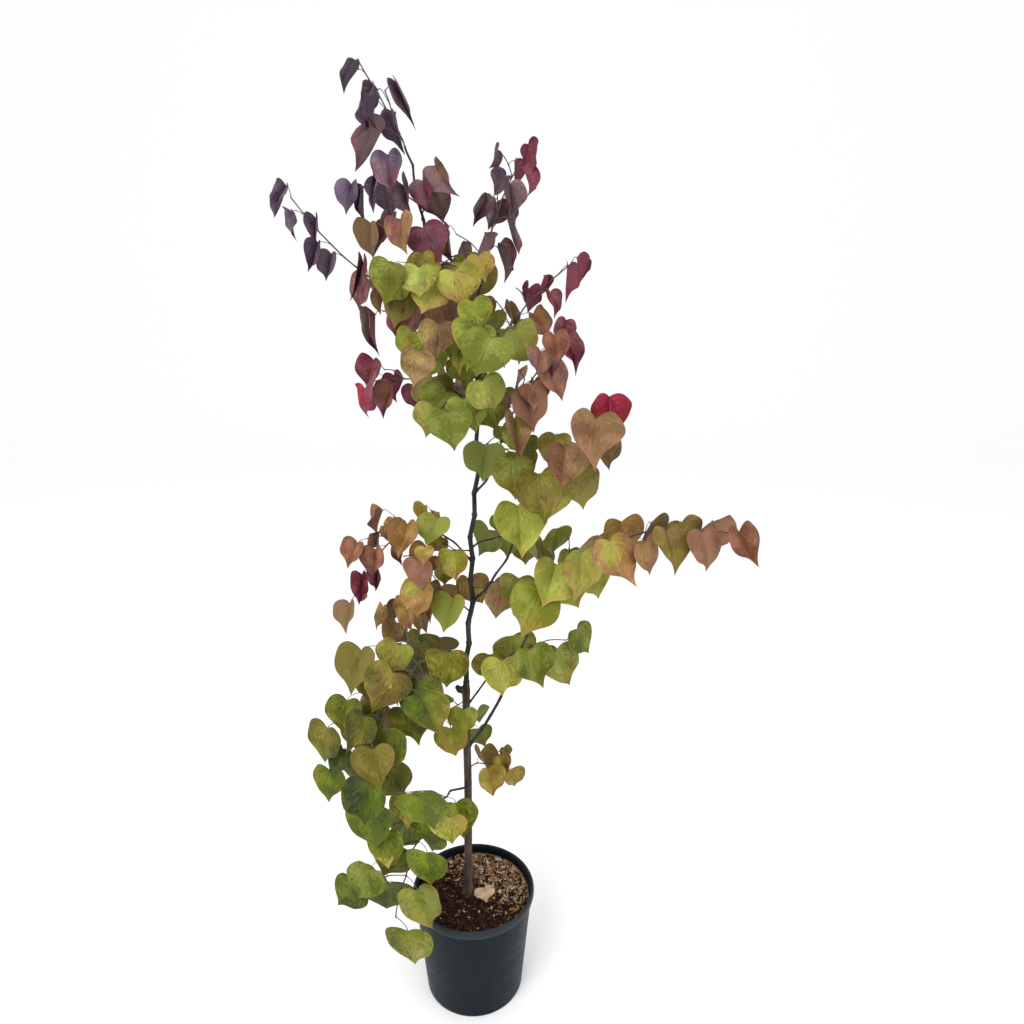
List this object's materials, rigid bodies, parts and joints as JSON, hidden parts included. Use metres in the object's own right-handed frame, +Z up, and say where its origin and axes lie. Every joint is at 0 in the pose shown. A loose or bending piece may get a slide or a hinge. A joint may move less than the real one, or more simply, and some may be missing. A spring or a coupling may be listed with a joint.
{
  "type": "redbud tree",
  "caption": "Young redbud tree in a nursery pot: slender stem, arching shoots and hanging heart-shaped leaves in autumn tints from green to purple.",
  "frame": {"origin": "middle of the pot's flat underside", "axes": "+Z up along the stem, +X to the right of the side seen in the picture, +Y to the back"},
  "size_m": [0.8724, 0.4926, 1.9595],
  "materials": {
    "pot": "satin",
    "soil": "matte",
    "bark": "matte",
    "leaf_green": "satin",
    "leaf_olive": "satin",
    "leaf_rust": "satin",
    "leaf_bronze": "satin",
    "leaf_crimson": "satin",
    "leaf_purple": "satin"
  },
  "bodies": {
    "root": {"pot": "pot", "soil": "soil", "trunk": "bark", "bough_upper_left": "bark", "bough_upper_right": "bark", "bough_right_second": "bark", "bough_right_third": "bark", "bough_right_fourth": "bark", "bough_long_right": "bark", "bough_right_low": "bark", "bough_left_high": "bark", "bough_left_arch": "bark", "bough_left_low": "bark", "bough_low_left": "bark", "bough_back_high": "bark", "bough_back_upper": "bark", "bough_back_mid": "bark", "bough_back_low": "bark", "bough_back_foot": "bark", "foliage_top": "leaf_purple", "foliage_top_left": "leaf_purple", "foliage_top_inner": "leaf_bronze", "foliage_top_right": "leaf_bronze", "foliage_upper_left": "leaf_bronze", "foliage_left_second": "leaf_rust", "foliage_upper_right": "leaf_bronze", "foliage_right_second": "leaf_crimson", "foliage_right_third": "leaf_rust", "foliage_right_inner": "leaf_green", "foliage_right_fourth": "leaf_olive", "foliage_long_right": "leaf_rust", "foliage_right_low": "leaf_green", "foliage_left_high": "leaf_bronze", "foliage_left_arch": "leaf_rust", "foliage_left_mid": "leaf_olive", "foliage_left_low": "leaf_green", "foliage_left_inner": "leaf_green", "foliage_low_left": "leaf_green", "foliage_low_front": "leaf_green", "foliage_centre_left": "leaf_green", "foliage_centre_top": "leaf_green", "foliage_centre_right": "leaf_green", "foliage_centre_front": "leaf_green", "foliage_centre_low": "leaf_green", "foliage_right_small": "leaf_rust", "foliage_right_bottom": "leaf_olive", "foliage_back_high": "leaf_green", "foliage_back_upper": "leaf_olive", "foliage_back_mid": "leaf_green", "foliage_back_low": "leaf_green", "foliage_back_foot": "leaf_green"}
  },
  "joints": []
}
